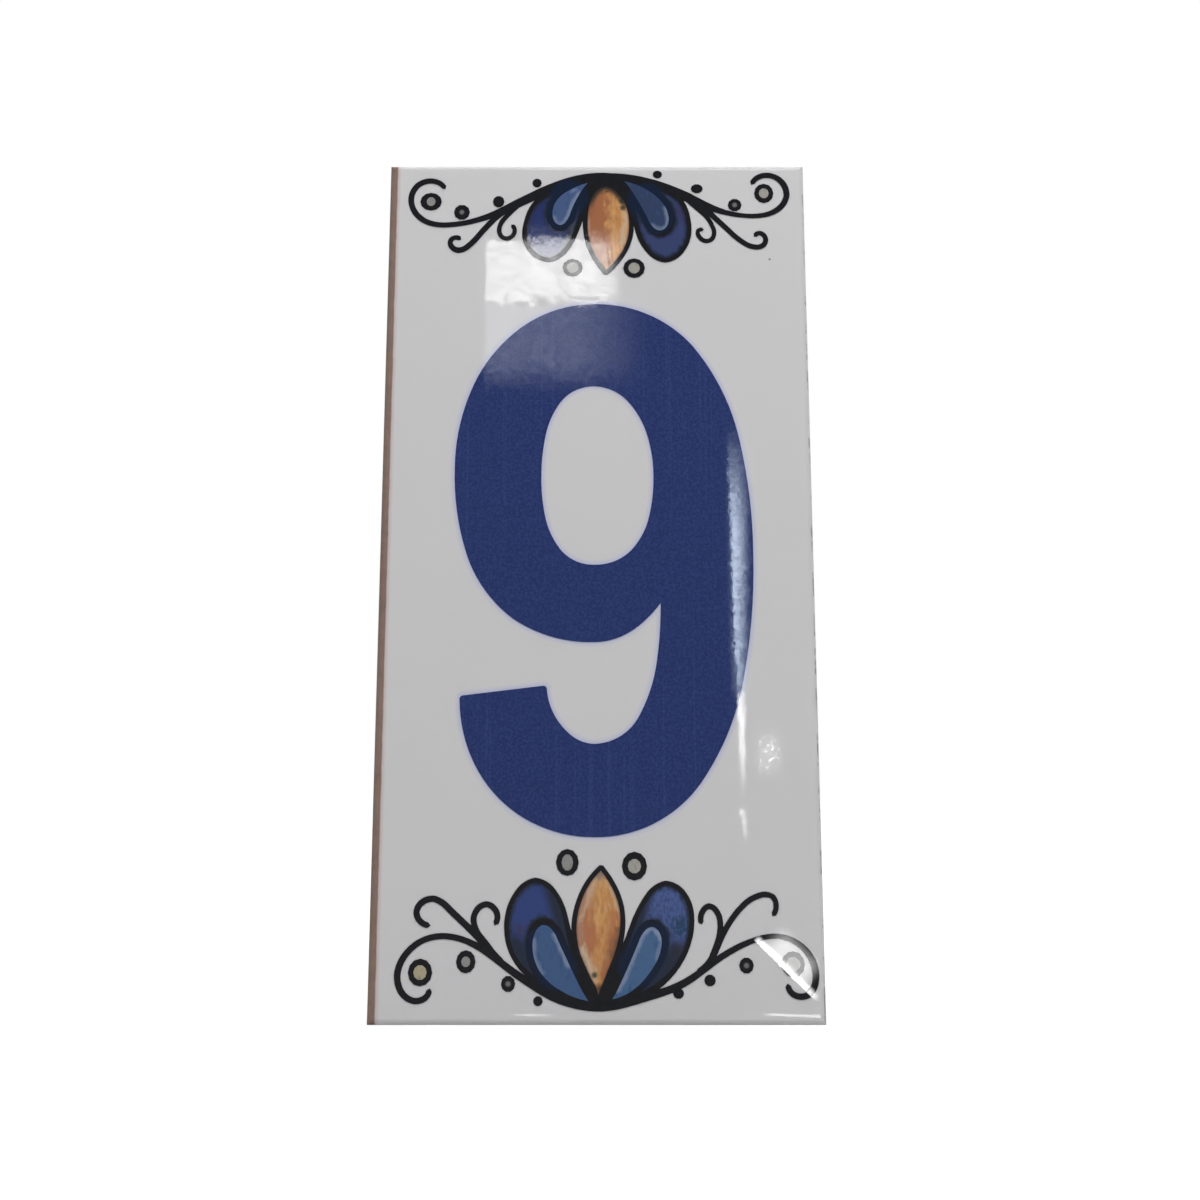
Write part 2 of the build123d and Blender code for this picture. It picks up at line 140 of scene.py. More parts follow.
NUMERAL_MOTTLE = {"size": 0.45, "detail": 3.0, "seed": 4.0}
LINE_PATCHES = {"size": 1.2, "detail": 3.0}
OUTER_BRUSH = {"size": 0.9, "detail": 4.0, "stretch": (1.0, 1.0, 1.6), "seed": 1.0}
OUTER_DABS = {"size": 0.55, "detail": 4.0, "stretch": (0.8, 1.0, 1.4), "seed": 8.0}
INNER_BRUSH = {"size": 0.9, "detail": 4.0, "stretch": (1.0, 1.0, 2.0), "seed": 6.0}
GOLD_BRUSH = {"size": 0.9, "detail": 4.0, "stretch": (1.0, 1.0, 3.0), "seed": 9.0}
GOLD_STREAKS = {"size": 0.4, "detail": 3.0, "stretch": (1.0, 1.0, 4.0), "seed": 14.0}
GOLD_WAVES = {"size": 1.2, "detail": 1.0, "seed": 12.0}
GOLD_BLOTCHES = {"size": 1.5, "detail": 3.0, "stretch": (1.0, 1.0, 1.5), "seed": 18.0}
BEAD_MOTTLE = {"size": 0.6, "detail": 3.0}
GLEAM_PATCHES = {"size": 1.0, "detail": 4.0, "fineness": 0.65}

# Colours of clay and glaze, linear
GLAZE_WHITE = (0.630, 0.618, 0.624)
GLAZE_COOL = (0.605, 0.600, 0.611)
CLAY = (0.290, 0.205, 0.170)
CLAY_DARK = (0.185, 0.130, 0.110)
CLAY_FRINGE = (0.560, 0.480, 0.470)
GAP_SHADOW_GREY = (0.200, 0.190, 0.180)
SPECK_GREY = (0.20, 0.19, 0.19)

# Colours of the print, linear
NUMERAL_BLUE = (0.0130, 0.0275, 0.122)
NUMERAL_LIGHT = (0.0275, 0.0485, 0.174)
BLEED_BLUE = (0.510, 0.527, 0.655)
LINE_BLACK = (0.0005, 0.0005, 0.002)
LINE_SOFT = (0.008, 0.009, 0.013)
LINE_NAVY = (0.001, 0.009, 0.032)
OUTER_LOW_LEFT = (0.014, 0.038, 0.170)
OUTER_LOW_RIGHT = (0.049, 0.089, 0.258)
OUTER_HIGH_LEFT = (0.002, 0.015, 0.107)
OUTER_HIGH_RIGHT = (0.024, 0.040, 0.130)
OUTER_DAB = (0.023, 0.045, 0.145)
OUTER_DARK = (0.001, 0.008, 0.031)
OUTER_PURPLE = (0.027, 0.023, 0.098)
OUTER_PLUM = (0.019, 0.012, 0.029)
OUTER_TEAL = (0.005, 0.038, 0.100)
INNER_LOW_LEFT = (0.043, 0.095, 0.218)
INNER_LOW_RIGHT = (0.052, 0.118, 0.245)
INNER_HIGH_LEFT = (0.050, 0.090, 0.213)
INNER_HIGH_RIGHT = (0.023, 0.042, 0.106)
INNER_DEEP = (0.026, 0.062, 0.165)
INNER_RIM = (0.205, 0.258, 0.385)
GOLD = (0.590, 0.315, 0.110)
GOLD_DEEP = (0.480, 0.215, 0.068)
GOLD_PINK = (0.395, 0.205, 0.135)
GOLD_RED = (0.400, 0.140, 0.055)
GOLD_ORANGE = (0.330, 0.122, 0.052)
GOLD_CREAM = (0.540, 0.415, 0.290)
GOLD_BROWN = (0.140, 0.060, 0.035)
GOLD_GREY = (0.235, 0.190, 0.170)
GOLD_OLIVE = (0.085, 0.070, 0.040)
GOLD_ROOT = (0.028, 0.021, 0.016)
BEAD_GREY = (0.262, 0.260, 0.250)
BEAD_PALE = (0.345, 0.335, 0.300)
BEAD_TAN = (0.390, 0.345, 0.235)
BEAD_DULL = (0.150, 0.155, 0.145)

# Where the left half's colours give way to the right half's, and the lower half's to the upper half's
MIDDLE_ACROSS = (-1.0, 2.0)
MIDDLE_UP = (-5.0, 5.0)

# Roots that the petals of each ornament spring from
LOW_ROOT = (0.0, -71.0)
HIGH_ROOT = (0.8, 73.2)

# Numeral: the share of its lighter blue in the mottle and in the printing lines
MOTTLE_COVER = (0.35, 0.70)
MOTTLE_SHARE = 0.7
PRINTING_LINE_COVER = (0.62, 0.8)
PRINTING_LINE_SHARE = 0.35

# Scrollwork: navy strokes round the inner petals, and small beads with a dull centre
NAVY_STROKES = [
    ((-9.3, -62.6), (-7.4, -66.0)),
    ((8.2, -62.0), (6.2, -65.6)),
    ((-7.4, 65.8), (-5.8, 68.6)),
    ((9.8, 65.0), (8.2, 68.0)),
]
NAVY_WIDTHS = (2.9, 3.9)
DULL_BEADS = [(-25.1, 65.75), (24.1, 67.15), (-15.2, -68.4), (23.75, -65.5)]
DULL_BEAD_RADII = (0.2, 0.6)

# Outer petals: touches as place, radii, tint, pattern and cover
OUTER_TOUCHES = [
    ((12.5, -57.5), (3.5, 6.5), OUTER_DAB, "dabs", (0.40, 0.72)),
    ((13.2, -59.2), (0.8, 2.4), OUTER_TEAL, "dabs", (0.30, 0.52)),
    ((-13.2, -60.2), (0.6, 2.6), OUTER_PURPLE, "brush", (0.35, 0.65)),
    ((14.6, 65.6), (1.0, 3.5), OUTER_PURPLE, "brush", (0.35, 0.65)),
]
PLUM_TOUCH = (12.6, -64.4)
PLUM_RADII = (1.2, 3.6)

# Outer petals: dark strokes as start, end and widths, dark roots as place, fade and wander, and a dark rim
OUTER_DARK_STROKES = [
    ((-8.0, -52.5), (-4.6, -64.0), (0.6, 2.6)),
    ((7.2, -53.8), (4.6, -64.0), (0.4, 2.2)),
    ((-5.4, 59.5), (-2.4, 69.0), (0.6, 2.6)),
    ((6.2, 61.5), (3.8, 69.0), (0.2, 1.6)),
    ((-14.8, -63.2), (-9.5, -68.0), (1.4, 3.8)),
]
OUTER_DARK_ROOTS = [(LOW_ROOT, (17.5, 12.5), 2.5), (HIGH_ROOT, (12.0, 8.0), 2.0)]
OUTER_RIM_FADE = (0.8, 0.0)
OUTER_RIM_WANDER = 0.6

# Inner petals: deeper patches, and pale rims as start, end and strength
INNER_DEEP_COVER = (0.50, 0.75)
INNER_DEEP_SHARE = 0.7
INNER_RIMS = [
    ((-11.2, -62.0), (-9.9, -66.2), 0.55),
    ((-7.6, -61.2), (-5.6, -65.0), 0.75),
    ((7.6, -60.2), (9.4, -60.8), 1.0),
    ((7.2, -60.6), (2.8, -68.8), 0.8),
    ((9.8, -61.5), (9.5, -64.0), 0.45),
    ((-4.6, 69.3), (-6.0, 64.8), 0.7),
    ((-6.4, 64.0), (-8.9, 64.2), 0.45),
    ((11.8, 66.0), (11.4, 63.2), 0.6),
    ((11.0, 63.0), (9.6, 62.8), 0.5),
]
INNER_RIM_WIDTHS = (0.5, 1.3)
INNER_RIM_FADE = (0.9, 0.25)
INNER_RIM_WANDER = 0.5

# Centre petals: two golds with pale and red streaks, an orange side and a pink one, and how far they wander
GOLD_COVER = (0.35, 0.68)
PALE_STREAK_COVER = (0.52, 0.72)
PALE_STREAK_SHARE = 0.45
RED_STREAK_COVER = (0.46, 0.28)
RED_STREAK_SHARE = 0.5
ORANGE_FADE = (2.8, 0.1)
PINK_FADE = (-0.6, -3.0)
WANDER_ACROSS = 1.2
WANDER_UP = 1.6
ORANGE_WANDER = 3.4

# Centre petals: strokes as start, end, reach to each side, tint and strength, and small touches
GOLD_STROKES = [
    ((-2.3, -57.5), (-1.8, -62.8), 2.0, GOLD_RED, 0.8),
    ((2.4, -57.5), (1.4, -63.0), 1.7, GOLD_RED, 0.75),
    ((-1.0, -51.5), (-3.4, -58.5), 0.8, GOLD_CREAM, 0.6),
    ((1.4, -52.0), (3.5, -58.0), 0.9, GOLD_CREAM, 0.7),
    ((3.2, -60.5), (1.2, -66.8), 1.9, GOLD_BROWN, 0.95),
    ((-3.1, -62.8), (-1.3, -67.8), 1.1, GOLD_CREAM, 0.9),
    ((1.0, -65.0), (0.4, -68.6), 1.2, GOLD_RED, 0.7),
    ((4.8, 66.0), (3.5, 59.8), 1.0, GOLD_CREAM, 0.7),
    ((-2.9, 66.0), (-2.5, 61.5), 0.8, GOLD_CREAM, 0.45),
    ((-0.2, 59.5), (1.0, 56.5), 2.4, GOLD_CREAM, 0.25),
]
GREY_TIP = (0.0, -50.2)
GREY_TIP_RADII = (0.4, 2.4)
GOLD_SPECKS = [(-1.1, -67.0), (3.7, 67.9), (3.9, 66.6)]
GOLD_SPECK_RADII = (0.2, 0.75)

# Centre petals: brown rims, the dark rim and root of the upper one and the dark root of the lower one
BROWN_RIM_FADE = (0.4, 0.0)
BROWN_RIM_SHARE = 0.6
HIGH_RIM_FADE = (1.3, 0.2)
HIGH_RIM_FADE_UP = (64.5, 69.0)
HIGH_ROOT_FADE_UP = (68.6, 70.8)
LOW_ROOT_STRETCH = (1.0, 1.3)
LOW_ROOT_FADE = (2.4, 0.8)
LOW_ROOT_WANDER = 0.6

# Beads: the tinted ones, and a dull mottle
BEAD_TINTS = [
    ((-29.6, -66.6), BEAD_TAN),
    ((5.5, -49.6), BEAD_PALE),
    ((5.9, 55.1), BEAD_PALE),
    ((29.4, 69.4), BEAD_PALE),
]
BEAD_TINT_RADII = (1.5, 2.5)
BEAD_DULL_COVER = (0.5, 0.75)
BEAD_DULL_SHARE = 0.6

# Gleams: a window's two panes, an upright strip that breaks up below, a slanting streak and the lower edge
COOL_LIGHT = (0.85, 0.88, 1.0)
BLUE_LIGHT = (0.74, 0.86, 1.0)
GLEAM_SHARP = 0.05
GLEAM_PATCH = (0.6, 0.6)
GLEAM_COVER = (0.4, 0.6)
WINDOW_LEFT = -20.6
WINDOW_DISTANCE = 1500.0
STRIP_HIGH = 27.0
STRIP_DISTANCE = 600.0
STRIP_END_DISTANCE = 300.0
SLANT_LOW = -66.6
SLANT_LEAN = 44.4
EDGE_HIGH = -73.0
EDGE_DISTANCE = 3.0
GLEAMS = {
    "window_high": dict(
        left=WINDOW_LEFT, right=4.2, low=48.0, high=60.4, distance=WINDOW_DISTANCE, strength=0.44,
        fade={"right": 4.0, "low": 1.6}, ragged=6.0, mottle=0.6, patch=(2.4, 0.8),
    ),
    "window_low": dict(
        left=WINDOW_LEFT, right=10.0, low=31.5, high=49.2, distance=WINDOW_DISTANCE, strength=0.12,
        colour=COOL_LIGHT, fade={"right": 17.0, "low": 7.0, "high": 0.6},
        ragged=4.0, mottle=0.5, patch=(0.7, 0.6),
    ),
    "strip": dict(
        left=22.3, right=27.2, low=-21.8, high=STRIP_HIGH, distance=STRIP_DISTANCE, strength=1.22,
        colour=BLUE_LIGHT, fade={"left": 0.4, "right": 4.2, "low": 2.7, "high": 26.0},
        lean=-1.2, taper=2.3, mottle=0.65, patch=(0.6, 0.7),
    ),
    "strip_glow": dict(
        left=21.8, right=26.3, low=-22.0, high=STRIP_HIGH, distance=STRIP_DISTANCE, strength=0.07,
        colour=BLUE_LIGHT, fade={"left": 0.8, "right": 2.5, "low": 2.0, "high": 24.0},
    ),
    "strip_end": dict(
        left=23.1, right=24.7, low=-39.0, high=-20.6, distance=STRIP_END_DISTANCE, strength=0.66,
        fade={"left": 0.3, "right": 0.6, "low": 11.0, "high": 0.8}, lean=-1.0, taper=0.5, mottle=0.5,
    ),
    "strip_dash": dict(
        left=23.3, right=24.4, low=-46.2, high=-40.0, distance=STRIP_END_DISTANCE, strength=0.42,
        fade={"left": 0.3, "right": 0.5, "low": 4.0, "high": 0.6}, lean=-5.0, mottle=0.4,
    ),
    "sparkle": dict(
        left=25.0, right=31.2, low=-35.5, high=-26.0, distance=60.0, strength=1.1,
        fade={"left": 3.0, "right": 3.0, "low": 4.0, "high": 5.0},
        mottle=0.9, patch=(0.5, 0.5), cover=(0.56, 0.64),
    ),
    "slant": dict(
        left=23.3, right=37.8, low=SLANT_LOW, high=-65.2, distance=15.0, strength=1.0, lean=SLANT_LEAN,
        fade={"left": 0.8, "right": 2.5, "high": 1.0},
    ),
    "slant_haze": dict(
        left=26.1, right=37.1, low=SLANT_LOW, high=-61.0, distance=25.0, strength=0.37, lean=SLANT_LEAN,
        fade={"left": 3.5, "right": 3.0, "low": 0.4, "high": 2.4},
    ),
    "gleam_right": dict(
        left=25.4, right=36.4, low=-73.6, high=EDGE_HIGH, distance=EDGE_DISTANCE, strength=0.35, lean=1.8,
        fade={"left": 3.0, "right": 1.0, "low": 0.15, "high": 0.3},
    ),
    "gleam_left": dict(
        left=-15.0, right=-7.5, low=-73.5, high=EDGE_HIGH, distance=EDGE_DISTANCE, strength=0.25,
        fade={"left": 2.0, "right": 2.5, "low": 0.15, "high": 0.25},
    ),
}


class ShaderNodes:
    """Adds nodes to a tree. A value is a number, a colour or another node's output."""

    def __init__(self, tree):
        self.tree = tree
        self.place = None

    def put(self, value, socket):
        """Gives a socket its value, or leaves it as it is where that is None."""
        if isinstance(value, bpy.types.NodeSocket):
            self.tree.links.new(value, socket)
        elif socket.type == "RGBA":
            socket.default_value = (*value, 1.0)
        elif value is not None:
            socket.default_value = value

    def add(self, kind, values=(), **settings):
        """A new node's first output."""
        node = self.tree.nodes.new(kind)
        for name, setting in settings.items():
            setattr(node, name, setting)
        for socket, value in zip(node.inputs, values):
            self.put(value, socket)
        return node.outputs[0]

    def parts(self, vector):
        """A vector's three numbers."""
        return self.add("ShaderNodeSeparateXYZ", [vector]).node.outputs

    def math(self, operation, a, b=0.0):
        """One number from one or two."""
        return self.add("ShaderNodeMath", [a, b], operation=operation)

    def fold(self, operation, values):
        """One number from several, such as their product."""
        result, *others = values
        for value in others:
            result = self.math(operation, result, value)
        return result

    def hypotenuse(self, a, b):
        """The length of a slope that runs a one way and b the other."""
        squares = self.math("ADD", self.math("MULTIPLY", a, a), self.math("MULTIPLY", b, b))
        return self.math("SQRT", squares)

    def between(self, value, low, high):
        """0 at low and 1 at high, with a soft start and end."""
        values = [value, low, high, 0.0, 1.0]
        return self.add("ShaderNodeMapRange", values, interpolation_type="SMOOTHSTEP")

    def noise(self, size, detail, stretch=(1.0, 1.0, 1.0), seed=0.0, fineness=0.5):
        """Cloudy noise about its middle with patches of that size, stretched by the given shares."""
        scale = [1 / (size * share) for share in stretch]
        place = self.add("ShaderNodeVectorMath", [self.place, scale, (seed,) * 3], operation="MULTIPLY_ADD")
        return self.add("ShaderNodeTexNoise", [place, None, 1.0, detail, fineness])

    def wander(self, noise, reach):
        """Noise about 0 that reaches about that far either way."""
        return self.math("MULTIPLY", self.math("SUBTRACT", noise, NOISE_MIDDLE), 2 * reach)

    def mix(self, share, a, b):
        """Colour a, or b where share is 1."""
        node = self.tree.nodes.new("ShaderNodeMix")
        node.data_type = "RGBA"
        for name, value in (("Factor_Float", share), ("A_Color", a), ("B_Color", b)):
            self.put(value, next(s for s in node.inputs if s.identifier == name))
        return next(s for s in node.outputs if s.identifier == "Result_Color")

    def seen(self):
        """1 for what the camera sees, straight, as a reflection or through glass, 0 for other light."""
        rays = self.add("ShaderNodeLightPath").node.outputs
        kinds = ("Is Camera Ray", "Is Glossy Ray", "Is Transmission Ray")
        return self.fold("MAXIMUM", [rays[kind] for kind in kinds])


class Paint(ShaderNodes):
    """A material with places in millimetres from the print's middle."""

    def __init__(self, name):
        self.material = bpy.data.materials.new(name)
        self.material.use_nodes = True
        super().__init__(self.material.node_tree)
        self.shader = self.tree.nodes["Principled BSDF"]
        coordinates = self.tree.nodes.new("ShaderNodeTexCoord").outputs["Object"]
        millimetres = [coordinates, (1 / MM,) * 3, (-PRINT_MIDDLE, 0.0, 0.0)]
        self.place = self.add("ShaderNodeVectorMath", millimetres, operation="MULTIPLY_ADD")
        self.across, self.depth, self.up = self.parts(self.place)

    def attribute(self, name):
        """A number that the mesh's points carry."""
        return self.add("ShaderNodeAttribute", attribute_name=name).node.outputs["Fac"]

    def away(self, point, stretch=(1.0, 1.0)):
        """Distance on the face from a point, in a frame stretched across and up."""
        across = self.math("DIVIDE", self.math("SUBTRACT", self.across, point[0]), stretch[0])
        up = self.math("DIVIDE", self.math("SUBTRACT", self.up, point[1]), stretch[1])
        return self.hypotenuse(across, up)

    def spot(self, point, inner, outer):
        """1 within the inner radius of a point, 0 beyond the outer one."""
        return self.between(self.away(point), outer, inner)

    def stroke(self, start, end, inner, outer):
        """1 near a straight stroke on the face, 0 away from it."""
        run = (end[0] - start[0], end[1] - start[1])
        length = math.hypot(*run)
        share_across, share_up = run[0] / length, run[1] / length
        across = self.math("SUBTRACT", self.across, start[0])
        up = self.math("SUBTRACT", self.up, start[1])
        along = self.math(
            "ADD",
            self.math("MULTIPLY", across, share_across),
            self.math("MULTIPLY", up, share_up),
        )
        aside = self.math(
            "SUBTRACT",
            self.math("MULTIPLY", across, share_up),
            self.math("MULTIPLY", up, share_across),
        )
        from_middle = self.math("ABSOLUTE", self.math("SUBTRACT", along, length / 2))
        past_end = self.math("MAXIMUM", self.math("SUBTRACT", from_middle, length / 2), 0.0)
        return self.between(self.hypotenuse(aside, past_end), outer, inner)

    def by_corner(self, low_left, low_right, high_left, high_right):
        """A colour for each of the tile's four corners."""
        right = self.between(self.across, *MIDDLE_ACROSS)
        high = self.between(self.up, *MIDDLE_UP)
        low_colour = self.mix(right, low_left, low_right)
        return self.mix(high, low_colour, self.mix(right, high_left, high_right))

    def white(self):
        """The white glaze's slightly cloudy colour."""
        return self.mix(self.noise(**CLOUDS), GLAZE_WHITE, GLAZE_COOL)

    def glaze(self, colour, gloss=GLOSS, brushed=False, bare=None):
        """Finishes the material: a glossy, slightly uneven glaze over the colour, rough clay where bare.

        A brushed glaze is less smooth and keeps upright brush marks.
        """
        self.put(colour, self.shader.inputs["Base Color"])
        self.shader.inputs["Roughness"].default_value = BRUSHED_ROUGHNESS if brushed else GLAZE_ROUGHNESS
        self.shader.inputs["Specular IOR Level"].default_value = gloss
        heights = [
            self.math("MULTIPLY", self.noise(**RIPPLE), RIPPLE_HEIGHT),
            self.math("MULTIPLY", self.noise(**PEEL), PEEL_HEIGHT),
        ]
        if brushed:
            heights.append(self.math("MULTIPLY", self.noise(**BRUSH_MARKS), BRUSH_HEIGHT))
        if bare:
            grain = self.math("MULTIPLY", self.noise(**CLAY_GRAIN), GRAIN_HEIGHT)
            heights.append(self.math("MULTIPLY", grain, bare))
            rough = self.math("MULTIPLY", bare, CLAY_ROUGHNESS - GLAZE_ROUGHNESS)
            self.put(self.math("ADD", rough, GLAZE_ROUGHNESS), self.shader.inputs["Roughness"])
        bump = self.tree.nodes.new("ShaderNodeBump")
        bump.inputs["Distance"].default_value = MM
        self.put(self.fold("ADD", heights), bump.inputs["Height"])
        self.put(bump.outputs[0], self.shader.inputs["Normal"])
        return self.material


def tile_material():
    """White glaze over the face and edge, bare clay on the sides and back, with an uneven line between."""
    paint = Paint("tile_glaze_and_clay")
    white = paint.mix(paint.spot(SPECK, *SPECK_RADII), paint.white(), SPECK_GREY)
    # Painted shadow: a broken dark line along the right edge, where a gap at the tile's edge casts shade
    from_dash = paint.math("ABSOLUTE", paint.math("SUBTRACT", paint.across, RIGHT_EDGE - DASH_INSET))
    painted_gap_shadow = paint.math(
        "MULTIPLY",
        paint.between(from_dash, DASH_WIDTH, 0.0),
        paint.between(paint.noise(**DASHES), *DASH_COVER),
    )
    white = paint.mix(painted_gap_shadow, white, GAP_SHADOW_GREY)
    clay = paint.mix(paint.noise(**CLAY_PATCHES), CLAY_DARK, CLAY)
    ragged = paint.noise(**RAGGED_LINE)
    glaze_line = paint.math("ADD", FACE + GLAZE_REACH, paint.math("MULTIPLY", ragged, GLAZE_REACH_SPREAD))
    past_line = paint.math("SUBTRACT", paint.depth, glaze_line)
    left_line = paint.math("ADD", LEFT_EDGE + BARE_LEFT, paint.wander(ragged, BARE_LEFT_SPREAD))
    past_left = paint.math("SUBTRACT", left_line, paint.across)
    past = paint.math("MAXIMUM", past_line, past_left)
    bare = paint.between(past, *BARE_FADE)
    colour = paint.mix(paint.between(past, -FRINGE_WIDTH, 0.0), white, CLAY_FRINGE)
    return paint.glaze(paint.mix(bare, colour, clay), bare=bare)


def numeral_material():
    """Blue print with faint upright printing lines and a fine mottle."""
    paint = Paint("numeral_print")
    mottle = paint.between(paint.noise(**NUMERAL_MOTTLE), *MOTTLE_COVER)
    lines = paint.between(paint.noise(**PRINTING_LINES), *PRINTING_LINE_COVER)
    share = paint.math(
        "ADD",
        paint.math("MULTIPLY", mottle, MOTTLE_SHARE),
        paint.math("MULTIPLY", lines, PRINTING_LINE_SHARE),
    )
    return paint.glaze(paint.mix(share, NUMERAL_BLUE, NUMERAL_LIGHT))


def line_material():
    """Dark drawn lines, navy round the inner petals, with small beads whose centres are a dull grey."""
    paint = Paint("scrollwork_print")
    navy = [paint.stroke(start, end, *NAVY_WIDTHS) for start, end in NAVY_STROKES]
    colour = paint.mix(paint.noise(**LINE_PATCHES), LINE_BLACK, LINE_SOFT)
    colour = paint.mix(paint.fold("MAXIMUM", navy), colour, LINE_NAVY)
    for point in DULL_BEADS:
        colour = paint.mix(paint.spot(point, *DULL_BEAD_RADII), colour, BEAD_DULL)
    return paint.glaze(colour)


def outer_petal_material():
    """Blue brushwork, darkening to the outline, to the petal's inner side and to its root."""
    paint = Paint("outer_petal_print")
    brush = paint.noise(**OUTER_BRUSH)
    patterns = {"brush": brush, "dabs": paint.noise(**OUTER_DABS)}
    colour = paint.by_corner(OUTER_LOW_LEFT, OUTER_LOW_RIGHT, OUTER_HIGH_LEFT, OUTER_HIGH_RIGHT)
    for point, radii, tint, pattern, cover in OUTER_TOUCHES:
        broken = paint.between(patterns[pattern], *cover)
        colour = paint.mix(paint.math("MULTIPLY", paint.spot(point, *radii), broken), colour, tint)
    colour = paint.mix(paint.spot(PLUM_TOUCH, *PLUM_RADII), colour, OUTER_PLUM)
    edge = paint.math("ADD", paint.attribute("edge"), paint.wander(brush, OUTER_RIM_WANDER))
    dark = [paint.between(edge, *OUTER_RIM_FADE)]
    for start, end, widths in OUTER_DARK_STROKES:
        dark.append(paint.stroke(start, end, *widths))
    for point, fade, wander in OUTER_DARK_ROOTS:
        from_root = paint.math("ADD", paint.away(point), paint.wander(brush, wander))
        dark.append(paint.between(from_root, *fade))
    colour = paint.mix(paint.fold("MAXIMUM", dark), colour, OUTER_DARK)
    return paint.glaze(colour, OUTER_PETAL_GLOSS, brushed=True)


def inner_petal_material():
    """Lighter blue, with pale brushed rims on some sides."""
    paint = Paint("inner_petal_print")
    brush = paint.noise(**INNER_BRUSH)
    colour = paint.by_corner(INNER_LOW_LEFT, INNER_LOW_RIGHT, INNER_HIGH_LEFT, INNER_HIGH_RIGHT)
    deep = paint.math("MULTIPLY", paint.between(brush, *INNER_DEEP_COVER), INNER_DEEP_SHARE)
    colour = paint.mix(deep, colour, INNER_DEEP)
    rims = []
    for start, end, strength in INNER_RIMS:
        rims.append(paint.math("MULTIPLY", paint.stroke(start, end, *INNER_RIM_WIDTHS), strength))
    edge = paint.math("ADD", paint.attribute("edge"), paint.wander(brush, INNER_RIM_WANDER))
    rim = paint.math("MULTIPLY", paint.fold("MAXIMUM", rims), paint.between(edge, *INNER_RIM_FADE))
    return paint.glaze(paint.mix(rim, colour, INNER_RIM), BRUSHED_GLOSS, brushed=True)


def centre_petal_material():
    """Streaky gold with reds, browns and pale touches, different in the two petals, and a dark root."""
    paint = Paint("centre_petal_print")
    brush = paint.noise(**GOLD_BRUSH)
    streaks = paint.noise(**GOLD_STREAKS)
    edge = paint.attribute("edge")
    pale = paint.math("MULTIPLY", paint.between(streaks, *PALE_STREAK_COVER), PALE_STREAK_SHARE)
    red = paint.math("MULTIPLY", paint.between(streaks, *RED_STREAK_COVER), RED_STREAK_SHARE)
    colour = paint.mix(paint.between(brush, *GOLD_COVER), GOLD_DEEP, GOLD)
    colour = paint.mix(pale, colour, GOLD_CREAM)
    colour = paint.mix(red, colour, GOLD_RED)
    high = paint.between(paint.up, *MIDDLE_UP)
    low = paint.between(paint.up, *reversed(MIDDLE_UP))
    specks = [paint.spot(point, *GOLD_SPECK_RADII) for point in GOLD_SPECKS]

    # The touches from here on have uneven edges, because their places wander
    paint.across = paint.math("ADD", paint.across, paint.wander(brush, WANDER_ACROSS))
    paint.up = paint.math("ADD", paint.up, paint.wander(paint.noise(**GOLD_WAVES), WANDER_UP))
    blotches = paint.wander(paint.noise(**GOLD_BLOTCHES), ORANGE_WANDER)
    orange = paint.between(paint.math("ADD", paint.across, blotches), *ORANGE_FADE)
    pink = paint.between(paint.across, *PINK_FADE)
    colour = paint.mix(paint.math("MULTIPLY", orange, high), colour, GOLD_ORANGE)
    colour = paint.mix(paint.math("MULTIPLY", pink, low), colour, GOLD_PINK)
    for start, end, reach, tint, strength in GOLD_STROKES:
        share = paint.math("MULTIPLY", paint.stroke(start, end, 0.0, reach), strength)
        colour = paint.mix(share, colour, tint)
    colour = paint.mix(paint.spot(GREY_TIP, *GREY_TIP_RADII), colour, GOLD_GREY)
    colour = paint.mix(paint.fold("MAXIMUM", specks), colour, GOLD_OLIVE)
    brown_rim = paint.math("MULTIPLY", paint.between(edge, *BROWN_RIM_FADE), BROWN_RIM_SHARE)
    colour = paint.mix(brown_rim, colour, GOLD_BROWN)
    from_root = paint.math(
        "ADD",
        paint.away(LOW_ROOT, LOW_ROOT_STRETCH),
        paint.wander(brush, LOW_ROOT_WANDER),
    )
    high_rim = paint.math(
        "MULTIPLY",
        paint.between(edge, *HIGH_RIM_FADE),
        paint.between(paint.up, *HIGH_RIM_FADE_UP),
    )
    high_root = paint.between(paint.up, *HIGH_ROOT_FADE_UP)
    dark = [high_root, high_rim, paint.between(from_root, *LOW_ROOT_FADE)]
    colour = paint.mix(paint.fold("MAXIMUM", dark), colour, GOLD_ROOT)
    return paint.glaze(colour, BRUSHED_GLOSS, brushed=True)


def bead_material():
    """Greyish bead centres, some paler and one tan."""
    paint = Paint("bead_print")
    colour = BEAD_GREY
    for point, tint in BEAD_TINTS:
        colour = paint.mix(paint.spot(point, *BEAD_TINT_RADII), colour, tint)
    mottle = paint.between(paint.noise(**BEAD_MOTTLE), *BEAD_DULL_COVER)
    return paint.glaze(paint.mix(paint.math("MULTIPLY", mottle, BEAD_DULL_SHARE), colour, BEAD_DULL))


def bleed_material():
    """Glaze stained pale blue, which fades with the distance from the numeral."""
    paint = Paint("numeral_bleed")
    share = paint.between(paint.attribute("distance"), BLEED_WIDTH, 0.0)
    return paint.glaze(paint.mix(share, paint.white(), BLEED_BLUE))


def outline_of(node):
    """The edges of a flat print's front, as pairs of (across, up) points in millimetres."""
    mesh = nodes[node].data
    front = min(vertex.co.y for vertex in mesh.vertices)
    counts = {}
    for polygon in mesh.polygons:
        corners = [mesh.vertices[i].co for i in polygon.vertices]
        if any(corner.y > front + FLAT_TOLERANCE * MM for corner in corners):
            continue
        flat = [(round(c.x / MM, PLACE_DIGITS), round(c.z / MM, PLACE_DIGITS)) for c in corners]
        for a, b in zip(flat, flat[1:] + flat[:1]):
            key = (min(a, b), max(a, b))
            counts[key] = counts.get(key, 0) + 1
    return np.array([edge for edge, count in counts.items() if count == 1])


